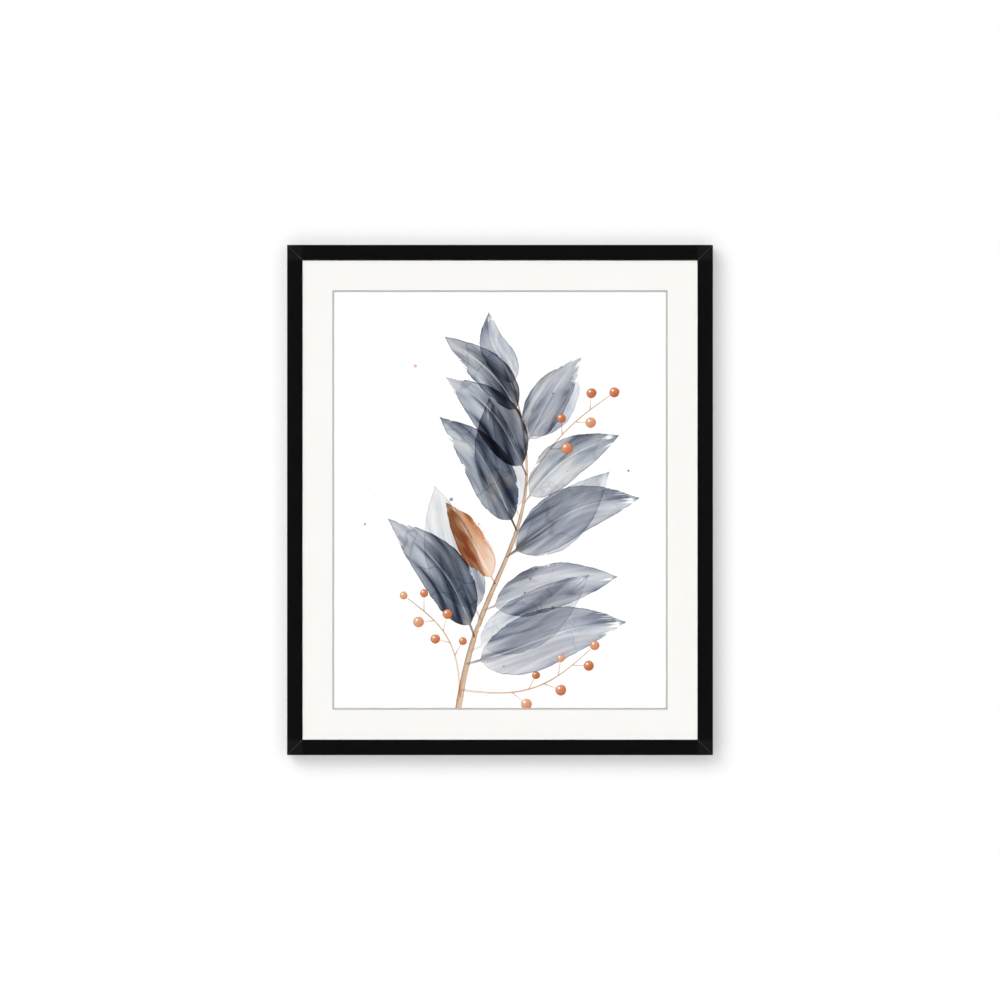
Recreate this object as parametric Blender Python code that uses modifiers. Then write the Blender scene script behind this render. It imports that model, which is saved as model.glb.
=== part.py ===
"""A wall-hung framed picture: four mitred rails round a glazed, matted print, with its backing and hanger.

Metres, +Z up, the picture faces -Y. The wall is the plane Y = 0, and the origin is the point where the
hanging nail leaves the wall, under the centre notch of the sawtooth hanger.
"""

import math

import bmesh
import bpy
from mathutils import Matrix, Vector

# Driving dimensions: the opening in the mat, the border of mat that shows, and the moulding.
WINDOW_WIDTH = 0.406
WINDOW_HEIGHT = 0.508
MAT_BORDER = 0.036
FACE_WIDTH = 0.0185
RAIL_DEPTH = 0.025
LIP_WIDTH = 0.006
LIP_DEPTH = 0.005
ARRIS = 0.0006

# What fills the rabbet, front to back, and the room that it has at its edges.
GAP = 0.0003
GLAZING_DEPTH = 0.002
MAT_DEPTH = 0.0022
PRINT_DEPTH = 0.0005
BOARD_DEPTH = 0.005
EDGE_PLAY = 0.0006
PRINT_OVERLAP = 0.012

# The bent steel nails that draw each mitre together, driven in from the back.
CORNER_NAIL_GAUGE = 0.0005
CORNER_NAIL_LEG = 0.006
CORNER_NAIL_DEPTH = 0.01
CORNER_NAIL_INSET = 0.0025

# The steel points that hold the board in, driven into the rails from inside.
POINT_DEPTH = 0.0005
POINT_WIDTH = 0.008
POINT_LENGTH = 0.015
POINT_BITE = 0.006
POINTS_ON_LONG_RAIL = 3
POINTS_ON_SHORT_RAIL = 2

# The paper glued over the back.
COVER_DEPTH = 0.0004
COVER_INSET = 0.003

# The sawtooth hanger, a stamped strip whose middle stands off the back to let a nail head in.
HANGER_LENGTH = 0.064
HANGER_HEIGHT = 0.010
HANGER_GAUGE = 0.0008
HANGER_RAISE = 0.0013
HANGER_LUG = 0.010
HANGER_STEP = 0.0022
HANGER_MARGIN = 0.004
TOOTH_PITCH = 0.003
TOOTH_DEPTH = 0.002
NOTCHES = 11

# The pan-head screws through its lugs.
SCREW_HEAD_RADIUS = 0.0023
SCREW_HEAD_HEIGHT = 0.0013
SCREW_RIM_HEIGHT = 0.0005
SCREW_SHANK_RADIUS = 0.001
SCREW_LENGTH = 0.009
SCREW_TIP_LENGTH = 0.0015
SCREW_PLAY = 0.0003
CROSS_LENGTH = 0.0026
CROSS_WIDTH = 0.0006
CROSS_DEPTH = 0.0007

# The rubber bumpers that keep the lower corners off the wall.
BUMPER_RADIUS = 0.0048
BUMPER_DEPTH = 0.003
BUMPER_DRAFT = 0.0008
BUMPER_ROUND = 0.0006
BUMPER_INSET = 0.0083

ROUND_SIDES = 32

# Worked out from the above.
SIGHT_WIDTH = WINDOW_WIDTH + 2 * MAT_BORDER
SIGHT_HEIGHT = WINDOW_HEIGHT + 2 * MAT_BORDER
OUTER_WIDTH = SIGHT_WIDTH + 2 * FACE_WIDTH
OUTER_HEIGHT = SIGHT_HEIGHT + 2 * FACE_WIDTH
PANEL_WIDTH = SIGHT_WIDTH + 2 * (LIP_WIDTH - EDGE_PLAY)
PANEL_HEIGHT = SIGHT_HEIGHT + 2 * (LIP_WIDTH - EDGE_PLAY)

COVER_BACK = -(BUMPER_DEPTH + GAP)
RAIL_BACK = COVER_BACK - COVER_DEPTH - GAP
RAIL_FRONT = RAIL_BACK - RAIL_DEPTH
GLAZING_FRONT = RAIL_FRONT + LIP_DEPTH + GAP
MAT_FRONT = GLAZING_FRONT + GLAZING_DEPTH + GAP
PRINT_FRONT = MAT_FRONT + MAT_DEPTH + GAP
BOARD_FRONT = PRINT_FRONT + PRINT_DEPTH + GAP
POINT_FRONT = BOARD_FRONT + BOARD_DEPTH + GAP
HANGER_FRONT = COVER_BACK + GAP

TOP = HANGER_HEIGHT - TOOTH_DEPTH + HANGER_MARGIN
MIDDLE = TOP - OUTER_HEIGHT / 2
BOTTOM = TOP - OUTER_HEIGHT
HANGER_MIDDLE = HANGER_HEIGHT / 2 - TOOTH_DEPTH
SCREW_X = (HANGER_LENGTH - HANGER_LUG) / 2

# Each rail's quarter turn about Y, from the left rail, whose own X runs in from its outer edge.
RAIL_TURNS = {"left": 0, "top": 1, "right": 2, "bottom": 3}


def clear_scene():
    for thing in list(bpy.data.objects):
        bpy.data.objects.remove(thing)


def new_collection(name):
    made = bpy.data.collections.new(name)
    bpy.context.scene.collection.children.link(made)
    return made


def paint(name, colour, roughness, metallic=0.0, alpha=1.0):
    material = bpy.data.materials.new(name)
    material.use_nodes = True
    shader = material.node_tree.nodes["Principled BSDF"]
    shader.inputs["Base Color"].default_value = (*colour, 1.0)
    shader.inputs["Roughness"].default_value = roughness
    shader.inputs["Metallic"].default_value = metallic
    shader.inputs["Alpha"].default_value = alpha
    return material


def put(name, mesh, collection, material=None):
    made = bpy.data.objects.new(name, mesh)
    collection.objects.link(made)
    if material:
        mesh.materials.append(material)
    return made


def as_cutter(cutter):
    cutter.hide_render = True
    cutter.display_type = "WIRE"
    return cutter


def cut(target, cutter):
    modifier = target.modifiers.new(cutter.name, "BOOLEAN")
    modifier.operation = "DIFFERENCE"
    modifier.object = cutter
    modifier.solver = "EXACT"


def box(name, collection, size, middle, material=None):
    """A box of this size (x, y, z) about this point."""
    bm = bmesh.new()
    bmesh.ops.create_cube(bm, size=1)
    bmesh.ops.scale(bm, vec=Vector(size), verts=bm.verts)
    mesh = bpy.data.meshes.new(name)
    bm.to_mesh(mesh)
    bm.free()
    made = put(name, mesh, collection, material)
    made.location = middle
    return made


def outline(name, collection, points, thickness, material=None):
    """A flat outline in its own XY plane, given thickness along its own Z, as a closed mesh."""
    curve = bpy.data.curves.new(name, "CURVE")
    curve.dimensions = "2D"
    curve.fill_mode = "BOTH"
    curve.extrude = thickness / 2
    spline = curve.splines.new("POLY")
    spline.points.add(len(points) - 1)
    for point, (x, y) in zip(spline.points, points):
        point.co = (x, y, 0, 1)
    spline.use_cyclic_u = True
    drawn = put(name + "_outline", curve, collection)
    graph = bpy.context.evaluated_depsgraph_get()
    mesh = bpy.data.meshes.new_from_object(drawn.evaluated_get(graph))
    bpy.data.objects.remove(drawn)
    bm = bmesh.new()
    bm.from_mesh(mesh)
    bmesh.ops.remove_doubles(bm, verts=bm.verts, dist=0.00001)
    bmesh.ops.dissolve_limit(bm, angle_limit=math.radians(1), verts=bm.verts, edges=bm.edges)
    bmesh.ops.recalc_face_normals(bm, faces=bm.faces)
    bm.to_mesh(mesh)
    bm.free()
    mesh.shade_flat()
    mesh.name = name
    return put(name, mesh, collection, material)


def turned(name, collection, profile, material=None):
    """A solid of revolution about its own Z. The profile runs from the top down, as (radius, height)."""
    mesh = bpy.data.meshes.new(name)
    edges = [(i, i + 1) for i in range(len(profile) - 1)]
    mesh.from_pydata([(r, 0, z) for r, z in profile], edges, [])
    made = put(name, mesh, collection, material)
    screw = made.modifiers.new("turn", "SCREW")
    screw.axis = "Z"
    screw.steps = ROUND_SIDES
    screw.render_steps = ROUND_SIDES
    screw.use_merge_vertices = True
    screw.merge_threshold = 0.00001
    screw.use_smooth_shade = True
    return made


def towards_wall(made):
    """Turns a piece so that its own Z points at the wall, along +Y."""
    made.rotation_euler = (math.radians(-90), 0, 0)
    return made


# ---- the moulding ----


def moulding_profile():
    """The rail's section: X in from the outer edge, Y back from the front face, with the rabbet cut away."""
    rabbet = FACE_WIDTH - LIP_WIDTH
    return [
        (0, 0),
        (FACE_WIDTH, 0),
        (FACE_WIDTH, LIP_DEPTH),
        (rabbet, LIP_DEPTH),
        (rabbet, RAIL_DEPTH),
        (0, RAIL_DEPTH),
    ]


def shape_rail(rail, length):
    """Eases the long edges, then mitres both ends, each short by half of the glue line between two rails."""
    bm = bmesh.new()
    bm.from_mesh(rail.data)
    long_edges = [edge for edge in bm.edges if edge.calc_length() > length and edge.is_convex]
    bmesh.ops.bevel(bm, geom=long_edges, offset=ARRIS, segments=2, profile=0.5, affect="EDGES")
    for end in (1, -1):
        cut_at = Vector((0, 0, end * (length - math.sqrt(2) * GAP) / 2))
        bmesh.ops.bisect_plane(
            bm,
            geom=bm.verts[:] + bm.edges[:] + bm.faces[:],
            plane_co=cut_at,
            plane_no=Vector((1, 0, end)).normalized(),
            clear_outer=True,
        )
        bmesh.ops.holes_fill(bm, edges=[edge for edge in bm.edges if edge.is_boundary])
    bmesh.ops.recalc_face_normals(bm, faces=bm.faces)
    bm.to_mesh(rail.data)
    bm.free()


def rail_frame(side):
    """The matrix that puts a rail modelled as the left one on this side of the frame."""
    turn = Matrix.Rotation(RAIL_TURNS[side] * math.pi / 2, 4, "Y")
    half = (OUTER_WIDTH if side in ("left", "right") else OUTER_HEIGHT) / 2
    return Matrix.Translation((0, RAIL_FRONT, MIDDLE)) @ turn @ Matrix.Translation((-half, 0, 0))


def rail_length(side):
    return OUTER_HEIGHT if side in ("left", "right") else OUTER_WIDTH


def make_rail(side, collection, material):
    length = rail_length(side)
    rail = outline("rail_" + side, collection, moulding_profile(), 2 * length, material)
    shape_rail(rail, length)
    rail.matrix_world = rail_frame(side)
    return rail


def nail_profile(spare):
    """A corner nail's section: an L with its apex on the mitre and a leg in each rail, grown by spare."""
    apex = CORNER_NAIL_GAUGE / 2 + spare
    end = CORNER_NAIL_LEG + spare
    return [(-apex, -apex), (end, -apex), (end, apex), (apex, apex), (apex, end), (-apex, end)]


def make_corner_nail(across, up, rails, collection, cutters, material):
    """A bent nail over the mitre at one corner, in a slot that both rails share."""
    name = f"corner_nail_{up}_{across}"
    to_right = 1 if across == "right" else -1
    to_top = 1 if up == "top" else -1
    inset = CORNER_NAIL_INSET + CORNER_NAIL_LEG
    x = to_right * (OUTER_WIDTH / 2 - inset)
    z = MIDDLE + to_top * (OUTER_HEIGHT / 2 - inset)
    turns = {(1, 1): 0, (-1, 1): 1, (-1, -1): 2, (1, -1): 3}[(to_right, to_top)]
    # The outline's X goes along +X, its Y up and its Z towards the front, then it turns to its corner.
    stand = Matrix.Rotation(math.pi / 2, 4, "X")
    turn = Matrix.Rotation(-turns * math.pi / 2, 4, "Y")
    middle = RAIL_BACK - CORNER_NAIL_DEPTH / 2
    place = Matrix.Translation((x, middle, z)) @ turn @ stand
    nail = outline(name, collection, nail_profile(0), CORNER_NAIL_DEPTH, material)
    nail.matrix_world = place
    slot = as_cutter(outline(name + "_slot", cutters, nail_profile(GAP), CORNER_NAIL_DEPTH + 2 * GAP))
    slot.matrix_world = place
    for rail in rails:
        cut(rail, slot)


# ---- what the rabbet holds ----


def panel(name, collection, front, depth, width, height, material):
    middle = (0, front + depth / 2, MIDDLE)
    return box(name, collection, (width, depth, height), middle, material)


def window_cutter(collection):
    """A four-sided taper at 45 degrees: the window at the mat's front face, narrower behind."""
    reach = 2 * MAT_DEPTH
    bm = bmesh.new()
    bmesh.ops.create_cube(bm, size=1)
    for vert in bm.verts:
        spread = reach if vert.co.y < 0 else -reach
        vert.co.x *= WINDOW_WIDTH + 2 * spread
        vert.co.z *= WINDOW_HEIGHT + 2 * spread
        vert.co.y *= 2 * reach
    mesh = bpy.data.meshes.new("window_cutter")
    bm.to_mesh(mesh)
    bm.free()
    cutter = put("window_cutter", mesh, collection)
    cutter.location = (0, MAT_FRONT, MIDDLE)
    return as_cutter(cutter)


def make_mat(collection, cutters, material):
    mat = panel("mat", collection, MAT_FRONT, MAT_DEPTH, PANEL_WIDTH, PANEL_HEIGHT, material)
    cut(mat, window_cutter(cutters))


def point_profile():
    """A steel point seen flat: its tip at -X in the rail, its square end over the board."""
    half = POINT_WIDTH / 2
    return [
        (-POINT_BITE, 0),
        (-POINT_BITE + half, -half),
        (POINT_LENGTH - POINT_BITE, -half),
        (POINT_LENGTH - POINT_BITE, half),
        (-POINT_BITE + half, half),
    ]


def make_points(side, rail, collection, cutters, material):
    """Steel points along one rail, each in a slot in the rabbet's wall."""
    count = POINTS_ON_LONG_RAIL if side in ("left", "right") else POINTS_ON_SHORT_RAIL
    spacing = rail_length(side) / (count + 1)
    flat = Matrix.Rotation(math.pi / 2, 4, "X")
    wall = FACE_WIDTH - LIP_WIDTH
    level = POINT_FRONT + POINT_DEPTH / 2 - RAIL_FRONT
    slot_size = (2 * (POINT_BITE + GAP), POINT_DEPTH + 2 * GAP, POINT_WIDTH + 2 * GAP)
    for i in range(count):
        along = spacing * (i + 1) - rail_length(side) / 2
        place = rail_frame(side) @ Matrix.Translation((wall, level, along))
        name = f"point_{side}_{i + 1}"
        point = outline(name, collection, point_profile(), POINT_DEPTH, material)
        point.matrix_world = place @ flat
        slot = as_cutter(box(name + "_slot", cutters, slot_size, (0, 0, 0)))
        slot.matrix_world = place
        cut(rail, slot)


# ---- the back ----


def make_cover(collection, material):
    width = OUTER_WIDTH - 2 * COVER_INSET
    height = OUTER_HEIGHT - 2 * COVER_INSET
    front = COVER_BACK - COVER_DEPTH
    return panel("dust_cover", collection, front, COVER_DEPTH, width, height, material)


def strip_profile():
    """The hanger from above: X along it, Y towards the wall, two flat lugs and a raised middle."""
    end = HANGER_LENGTH / 2
    foot = end - HANGER_LUG
    shoulder = foot - HANGER_STEP
    bend = HANGER_GAUGE * math.tan(math.atan2(HANGER_RAISE, HANGER_STEP) / 2)
    inner = [(end, 0), (foot, 0), (shoulder, HANGER_RAISE)]
    outer = [(shoulder + bend, HANGER_RAISE + HANGER_GAUGE), (foot + bend, HANGER_GAUGE), (end, HANGER_GAUGE)]
    under = inner + [(-x, y) for x, y in reversed(inner)]
    over = [(-x, y) for x, y in reversed(outer)] + outer
    return under + over


def comb_profile():
    """What is cut from the hanger's lower edge: X along it, Y up, with an apex at each notch."""
    half = NOTCHES * TOOTH_PITCH / 2
    points = [(-half, -TOOTH_DEPTH)]
    for i in range(NOTCHES):
        apex = (i - (NOTCHES - 1) / 2) * TOOTH_PITCH
        points.append((apex, 0))
        points.append((apex + TOOTH_PITCH / 2, -TOOTH_DEPTH))
    return points + [(half, -2 * TOOTH_DEPTH), (-half, -2 * TOOTH_DEPTH)]


def make_hanger(collection, cutters, material):
    hanger = outline("sawtooth_hanger", collection, strip_profile(), HANGER_HEIGHT, material)
    hanger.location = (0, HANGER_FRONT, HANGER_MIDDLE)
    comb = as_cutter(outline("comb", cutters, comb_profile(), 4 * HANGER_RAISE + 4 * HANGER_GAUGE))
    comb.rotation_euler = (math.radians(90), 0, 0)
    comb.location = (0, HANGER_FRONT, 0)
    cut(hanger, comb)
    return hanger


def screw_profile():
    """From the top of the domed head down to the tip."""
    steps = 6
    rise = SCREW_HEAD_HEIGHT - SCREW_RIM_HEIGHT
    dome = [
        (
            SCREW_HEAD_RADIUS * math.sin(math.pi / 2 * i / steps),
            SCREW_RIM_HEIGHT + rise * math.cos(math.pi / 2 * i / steps),
        )
        for i in range(steps + 1)
    ]
    return dome + [
        (SCREW_HEAD_RADIUS, 0),
        (SCREW_SHANK_RADIUS, 0),
        (SCREW_SHANK_RADIUS, -SCREW_LENGTH + SCREW_TIP_LENGTH),
        (0, -SCREW_LENGTH),
    ]


def make_screw(side, x, collection, cutters, material):
    seat = HANGER_FRONT + HANGER_GAUGE + GAP
    screw = turned("hanger_screw_" + side, collection, screw_profile(), material)
    towards_wall(screw).location = (x, seat, HANGER_MIDDLE)
    recess_y = seat + SCREW_HEAD_HEIGHT
    for size in ((CROSS_LENGTH, CROSS_WIDTH), (CROSS_WIDTH, CROSS_LENGTH)):
        depth = 2 * CROSS_DEPTH
        name = f"cross_{side}_{'across' if size[0] > size[1] else 'upright'}"
        bar = box(name, cutters, (size[0], depth, size[1]), (x, recess_y, HANGER_MIDDLE))
        cut(screw, as_cutter(bar))


def screw_hole(side, x, cutters):
    """A round cutter for the hole through the lug, the paper and the rail."""
    radius = SCREW_SHANK_RADIUS + SCREW_PLAY
    reach = SCREW_LENGTH + GAP
    profile = [(0, HANGER_GAUGE * 2), (radius, HANGER_GAUGE * 2), (radius, -reach), (0, -reach)]
    hole = turned("screw_hole_" + side, cutters, profile)
    towards_wall(hole).location = (x, HANGER_FRONT + HANGER_GAUGE, HANGER_MIDDLE)
    return as_cutter(hole)


def bumper_profile():
    """From the flat that meets the wall down to the glued face, with a rounded shoulder."""
    top = BUMPER_RADIUS - BUMPER_DRAFT
    steps = 4
    shoulder = [
        (
            top - BUMPER_ROUND * (1 - math.sin(math.pi / 2 * i / steps)),
            BUMPER_DEPTH - BUMPER_ROUND * (1 - math.cos(math.pi / 2 * i / steps)),
        )
        for i in range(steps + 1)
    ]
    return [(0, BUMPER_DEPTH)] + shoulder + [(BUMPER_RADIUS, 0), (0, 0)]


def make_bumper(side, x, collection, material):
    bumper = turned("bumper_" + side, collection, bumper_profile(), material)
    towards_wall(bumper).location = (x, -BUMPER_DEPTH, BOTTOM + BUMPER_INSET)


def build():
    clear_scene()
    parts = new_collection("framed_picture")
    cutters = new_collection("cutters")

    black = paint("black_stained_wood", (0.006, 0.006, 0.006), 0.45)
    clear = paint("clear_acrylic", (0.95, 0.97, 0.97), 0.05, alpha=0.2)
    board = paint("mat_board", (0.955, 0.947, 0.915), 0.85)
    paper = paint("print_paper", (0.97, 0.97, 0.965), 0.8)
    foam = paint("foam_board", (0.85, 0.84, 0.81), 0.85)
    kraft = paint("kraft_paper", (0.42, 0.26, 0.13), 0.8)
    steel = paint("zinc_steel", (0.62, 0.62, 0.6), 0.35, metallic=1.0)
    rubber = paint("black_rubber", (0.03, 0.03, 0.03), 0.7)

    rails = {side: make_rail(side, parts, black) for side in RAIL_TURNS}
    panel("glazing", parts, GLAZING_FRONT, GLAZING_DEPTH, PANEL_WIDTH, PANEL_HEIGHT, clear)
    make_mat(parts, cutters, board)
    print_width = WINDOW_WIDTH + 2 * PRINT_OVERLAP
    print_height = WINDOW_HEIGHT + 2 * PRINT_OVERLAP
    panel("print", parts, PRINT_FRONT, PRINT_DEPTH, print_width, print_height, paper)
    panel("backing_board", parts, BOARD_FRONT, BOARD_DEPTH, PANEL_WIDTH, PANEL_HEIGHT, foam)
    for side, rail in rails.items():
        make_points(side, rail, parts, cutters, steel)
    for up in ("top", "bottom"):
        for across in ("left", "right"):
            make_corner_nail(across, up, (rails[up], rails[across]), parts, cutters, steel)

    cover = make_cover(parts, kraft)
    hanger = make_hanger(parts, cutters, steel)
    for side, x in (("left", -SCREW_X), ("right", SCREW_X)):
        make_screw(side, x, parts, cutters, steel)
        hole = screw_hole(side, x, cutters)
        for pierced in (hanger, cover, rails["top"]):
            cut(pierced, hole)
        bumper_x = math.copysign(OUTER_WIDTH / 2 - BUMPER_INSET, x)
        make_bumper(side, bumper_x, parts, rubber)


build()
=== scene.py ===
import math

import bpy
import numpy as np
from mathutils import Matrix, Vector


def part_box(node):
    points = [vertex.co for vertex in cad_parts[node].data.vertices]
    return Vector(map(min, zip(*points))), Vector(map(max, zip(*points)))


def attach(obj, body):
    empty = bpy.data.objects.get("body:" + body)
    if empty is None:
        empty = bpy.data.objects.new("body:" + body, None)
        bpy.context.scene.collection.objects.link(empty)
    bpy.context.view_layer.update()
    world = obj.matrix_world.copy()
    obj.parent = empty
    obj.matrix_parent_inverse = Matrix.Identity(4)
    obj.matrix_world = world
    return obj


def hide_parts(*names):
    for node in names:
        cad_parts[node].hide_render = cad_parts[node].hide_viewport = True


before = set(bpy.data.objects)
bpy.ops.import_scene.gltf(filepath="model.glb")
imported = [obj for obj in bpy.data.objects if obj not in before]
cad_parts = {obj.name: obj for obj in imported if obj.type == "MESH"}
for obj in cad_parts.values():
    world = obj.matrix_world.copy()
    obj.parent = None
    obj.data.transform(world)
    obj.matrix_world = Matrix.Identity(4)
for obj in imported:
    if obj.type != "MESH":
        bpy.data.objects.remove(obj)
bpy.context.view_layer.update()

print("frame loaded")


# small helpers: arrays in, a finished piece out


# a mesh from its points and faces, smooth but where it turns by more than the angle
def makePiece(name, points, faces, material, smoothAngle=30, replaces=()):
    mesh = bpy.data.meshes.new(name)
    mesh.from_pydata(points.tolist(), [], faces)
    mesh.materials.append(material)
    mesh.shade_smooth()
    mesh.set_sharp_from_angle(angle=math.radians(smoothAngle))
    piece = bpy.data.objects.new(name, mesh)
    bpy.context.scene.collection.objects.link(piece)
    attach(piece, "root")
    if replaces:
        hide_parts(*replaces)
    return piece


# a grid of rows by columns as quads; either way round may close on itself
def gridFaces(rows, columns, closeRows=False, closeColumns=False):
    r = np.arange(rows if closeRows else rows - 1)
    c = np.arange(columns if closeColumns else columns - 1)
    r, c = np.meshgrid(r, c, indexing="ij")
    r2, c2 = (r + 1) % rows, (c + 1) % columns
    quads = np.stack([r * columns + c, r * columns + c2, r2 * columns + c2, r2 * columns + c], -1)
    return quads.reshape(-1, 4).tolist()


# one number or one vector at each point, for a material to read
def storeOnPoints(piece, name, values):
    values = np.asarray(values, np.float32)
    kind, key = ("FLOAT", "value") if values.ndim == 1 else ("FLOAT_VECTOR", "vector")
    piece.data.attributes.new(name, kind, "POINT").data.foreach_set(key, values.ravel())


# a UV map worked out for each point, written to each corner of the faces round it
def storeBakeMap(piece, uv):
    corners = np.empty(len(piece.data.loops), np.int32)
    piece.data.loops.foreach_get("vertex_index", corners)
    layer = piece.data.uv_layers.new(name="OFBake")
    layer.data.foreach_set("uv", np.asarray(uv, np.float32)[corners].ravel())


# smooth noise from a few sines with seeded directions, about -1 to 1
def waves(x, y, size, seed, count=7):
    random = np.random.default_rng(seed)
    total = np.zeros_like(x)
    for k in range(count):
        angle = random.uniform(0, math.tau)
        pitch = math.tau / (size * random.uniform(0.6, 1.6))
        total += np.sin(pitch * (x * math.cos(angle) + y * math.sin(angle)) + random.uniform(0, math.tau))
    return total / math.sqrt(count * 0.5) / 1.6


# shader maths


# one number socket: arithmetic on it adds the Math nodes
class Num:
    def __init__(self, finish, socket):
        self.finish = finish
        self.socket = socket

    def math(self, operation, *others):
        sockets = {i: value for i, value in enumerate((self, *others))}
        return self.finish.add("ShaderNodeMath", {"operation": operation}, sockets)

    def __add__(self, other):
        return self.math("ADD", other)

    __radd__ = __add__

    def __mul__(self, other):
        return self.math("MULTIPLY", other)

    __rmul__ = __mul__

    def __sub__(self, other):
        return self.math("SUBTRACT", other)

    def __rsub__(self, other):
        return (self * -1).math("ADD", other)

    def __truediv__(self, other):
        return self.math("DIVIDE", other)

    def __abs__(self):
        return self.math("ABSOLUTE")

    # 0 below low, 1 above high, smooth between; low may be above high
    def ramp(self, low, high):
        sockets = {"Value": self, "From Min": low, "From Max": high}
        return self.finish.add("ShaderNodeMapRange", {"interpolation_type": "SMOOTHSTEP"}, sockets)

    def other(self, name):
        return Num(self.finish, self.socket.node.outputs[name])


# a material and its nodes; add makes any node from its type, its settings and its sockets
class Finish:
    def __init__(self, name, **constants):
        self.material = bpy.data.materials.new(name)
        self.material.use_nodes = True
        self.tree = self.material.node_tree
        self.shader = self.tree.nodes["Principled BSDF"]
        for socket, value in constants.items():
            self.shader.inputs[socket.replace("_", " ")].default_value = value
        self.place = self.add("ShaderNodeTexCoord", out="Object")

    def add(self, kind, settings=None, sockets=None, out=0):
        node = self.tree.nodes.new(kind)
        for key, value in (settings or {}).items():
            setattr(node, key, value)
        for key, value in (sockets or {}).items():
            self.feed(self.pick(node.inputs, key), value)
        return Num(self, self.pick(node.outputs, out))

    def pick(self, sockets, key):
        if isinstance(key, int):
            return sockets[key]
        return next(s for s in sockets if key in (s.identifier, s.name))

    def feed(self, socket, value):
        if isinstance(value, Num):
            self.tree.links.new(value.socket, socket)
        else:
            socket.default_value = value

    def noise(self, scale, detail=3, roughness=0.5, place=None, distortion=0.0):
        sockets = {"Vector": place or self.place, "Scale": scale, "Detail": detail}
        sockets.update({"Roughness": roughness, "Distortion": distortion})
        return self.add("ShaderNodeTexNoise", {}, sockets)

    def stretch(self, place, scale, move=(0, 0, 0)):
        return self.add("ShaderNodeMapping", {}, {"Vector": place, "Scale": scale, "Location": move})

    def attribute(self, name, out="Fac"):
        return self.add("ShaderNodeAttribute", {"attribute_name": name}, out=out)

    # a vector's three numbers
    def split(self, vector):
        x = self.add("ShaderNodeSeparateXYZ", {}, {0: vector})
        return x, x.other("Y"), x.other("Z")

    def mix(self, factor, a, b):
        sockets = {"Factor_Float": factor, "A_Color": colour(a), "B_Color": colour(b)}
        return self.add("ShaderNodeMix", {"data_type": "RGBA"}, sockets, out="Result_Color")

    def vector(self, operation, *values):
        sockets = {("Scale" if operation == "SCALE" and i else i): v for i, v in enumerate(values)}
        return self.add("ShaderNodeVectorMath", {"operation": operation}, sockets)

    def bump(self, height, strength, distance):
        sockets = {"Height": height, "Strength": strength, "Distance": distance}
        self.feed(self.shader.inputs["Normal"], self.add("ShaderNodeBump", {}, sockets))

    def set(self, socket, value):
        self.feed(self.shader.inputs[socket], value)


# a plain colour gets the fourth number that a socket wants; a linked one is left alone
def colour(value):
    return (*value, 1.0) if isinstance(value, tuple) and len(value) == 3 else value


# where things are, all from the CAD boxes


def measure():
    lefts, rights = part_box("rail_left"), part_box("rail_right")
    tops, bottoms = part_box("rail_top"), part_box("rail_bottom")
    place = {
        "width": rights[1].x - lefts[0].x,
        "height": tops[1].z - bottoms[0].z,
        "middle": (tops[1].z + bottoms[0].z) / 2,
        "front": lefts[0].y,
        "back": lefts[1].y,
        "face": lefts[1].x - lefts[0].x,
    }
    place["sightWidth"] = place["width"] - 2 * place["face"]
    place["sightHeight"] = place["height"] - 2 * place["face"]
    return place


place = measure()


# black rails


rail = {
    "lip": 0.006,
    "lipDepth": 0.005,
    "glueLine": 0.00008,
    "outerArris": 0.0008,
    "sightArris": 0.0003,
    "rabbetArris": 0.0003,
    "backArris": 0.0006,
    "mitreArris": 0.0002,
    # how far in from the outer edge the paint runs on the back, and where bare wood starts
    "backPaint": (0.0018, 0.0026),
    "arcSteps": 5,
    "rings": 25,
    "paint": (0.0021, 0.0021, 0.0021),
    # the paler corner squares past the sight edge, then the mitre line: partly wear, partly a painted
    # highlight
    "paleCorners": (0.0076, 0.0076, 0.0075),
    "mitreLine": (0.032, 0.032, 0.0315),
    "rawWood": (0.46, 0.31, 0.18),
    "rawGrain": (0.3, 0.19, 0.1),
    # scale of the grain and of the pores along a rail, round its section and between rails
    "grain": (28, 900, 3),
    "pores": (160, 2600, 5),
    "grainShift": 1.7,
}


# a quarter arc about a corner of the section, from one heading to the next, in the section's own plane
def cornerArc(x, y, radius, startAngle, steps):
    angle = np.radians(startAngle) + np.linspace(0, math.pi / 2, steps + 1)
    return np.stack([x + radius * np.cos(angle), y + radius * np.sin(angle)], -1)


# the rail's section: x in from the outer edge, y back from the face, anticlockwise seen along the rail,
# with painted 1 on what the brush reaches and 0 in the rabbet and on the back
def railSection():
    face, depth = place["face"], place["back"] - place["front"]
    outer, sight, steps = rail["outerArris"], rail["sightArris"], rail["arcSteps"]
    inner, back = rail["rabbetArris"], rail["backArris"]
    rabbet = face - rail["lip"]
    paintEnd, woodStart = rail["backPaint"]
    parts = [
        (cornerArc(outer, outer, outer, 180, steps), 1),
        (cornerArc(face - sight, sight, sight, 270, steps), 1),
        (cornerArc(face - inner, rail["lipDepth"] - inner, inner, 0, 2), 1),
        (np.array([[rabbet, rail["lipDepth"]]]), 0),
        (cornerArc(rabbet - inner, depth - inner, inner, 0, 2), 0),
        (np.array([[woodStart, depth], [paintEnd, depth]]), 0),
        (cornerArc(back, depth - back, back, 90, 3), 1),
    ]
    section = np.concatenate([p for p, _ in parts])
    painted = np.concatenate([np.full(len(p), float(v)) for p, v in parts])
    return section, painted


# the section pushed inwards along its own normals, for the eased edge at a mitre
def shrink(section, amount):
    ahead = np.roll(section, -1, 0) - section
    behind = section - np.roll(section, 1, 0)
    unit = lambda v: v / np.maximum(np.linalg.norm(v, axis=1, keepdims=True), 1e-9)
    tangent = unit(unit(ahead) + unit(behind))
    return section + amount * np.stack([-tangent[:, 1], tangent[:, 0]], -1)


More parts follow.
